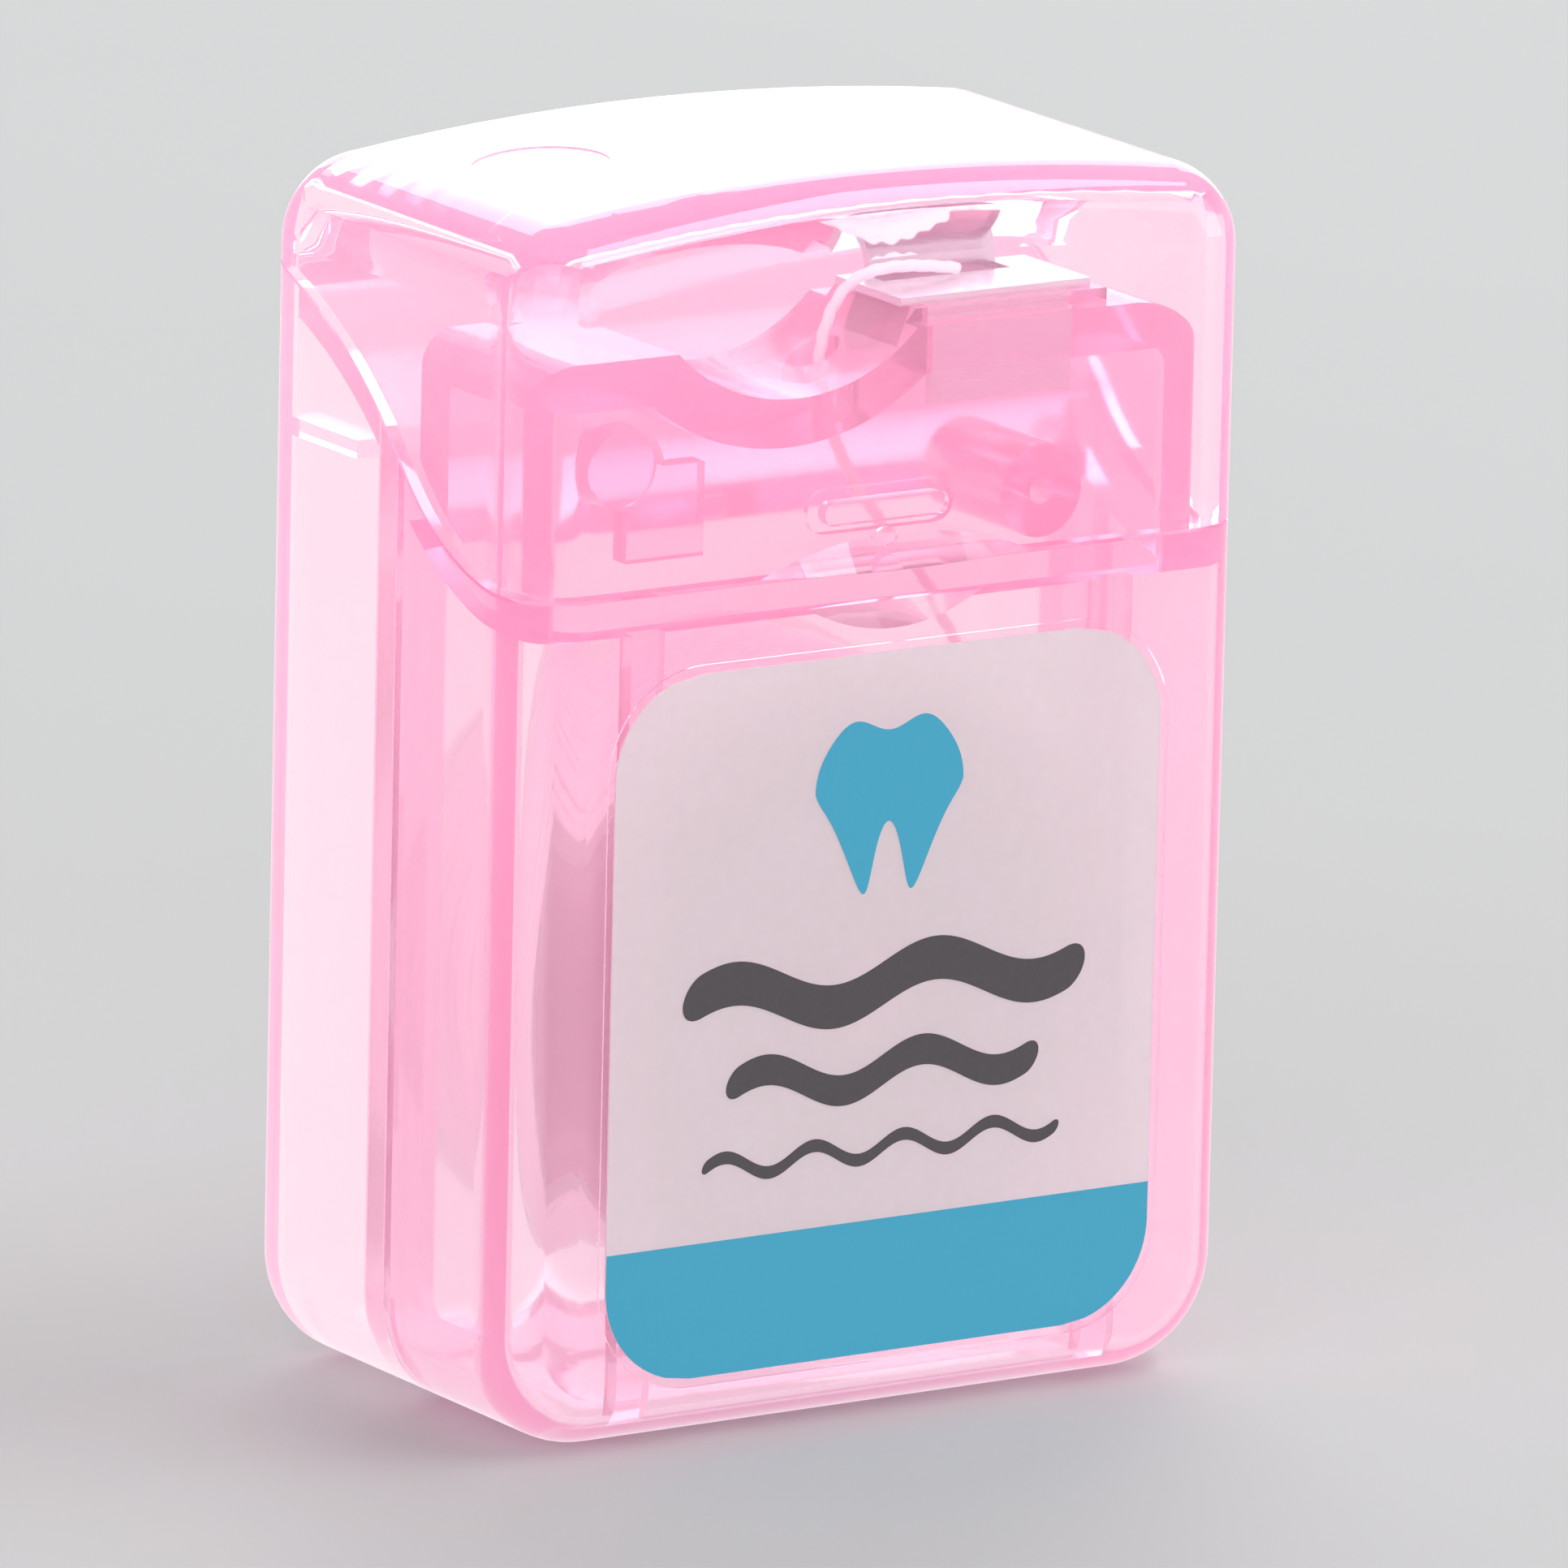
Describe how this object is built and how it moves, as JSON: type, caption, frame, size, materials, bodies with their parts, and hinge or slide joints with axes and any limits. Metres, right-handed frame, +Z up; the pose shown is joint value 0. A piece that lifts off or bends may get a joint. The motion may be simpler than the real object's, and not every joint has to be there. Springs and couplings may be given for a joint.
{
  "type": "dental floss dispenser",
  "caption": "Clear pocket floss dispenser: split case with a flip lid on a living hinge, a steel cutter on the neck and a wound bobbin that turns inside.",
  "frame": {"origin": "centre of the base, on the surface that the dispenser stands on", "axes": "+Z up to the lid, +X to the right seen from the front, +Y from the labelled front to the back"},
  "size_m": [0.0326, 0.02, 0.0478],
  "materials": {
    "clear_pink_plastic": "clear glossy moulded plastic with a pink tint",
    "label_film": "satin printed film label",
    "cutter_steel": "bright stamped steel strip",
    "bobbin_plastic": "natural white moulded plastic",
    "floss_yarn": "waxed multifilament thread"
  },
  "bodies": {
    "case": {"rear_shell": "clear_pink_plastic", "front_shell": "clear_pink_plastic", "cutter": "cutter_steel", "label": "label_film", "living_hinge": "clear_pink_plastic", "floss_lead": "floss_yarn"},
    "lid": {"lid": "clear_pink_plastic"},
    "spool": {"bobbin": "bobbin_plastic", "floss_core": "floss_yarn", "floss_winding": "floss_yarn"}
  },
  "joints": [
    {"name": "lid_hinge", "type": "hinge", "parent": "case", "child": "lid", "pos_m": [0, 0.00993, 0.04305], "axis": [-1, 0, 0], "range_deg": [0, 140]},
    {"name": "spool_spin", "type": "hinge", "parent": "case", "child": "spool", "pos_m": [0, 0.00025, 0.016], "axis": [0, 1, 0], "continuous": true}
  ]
}
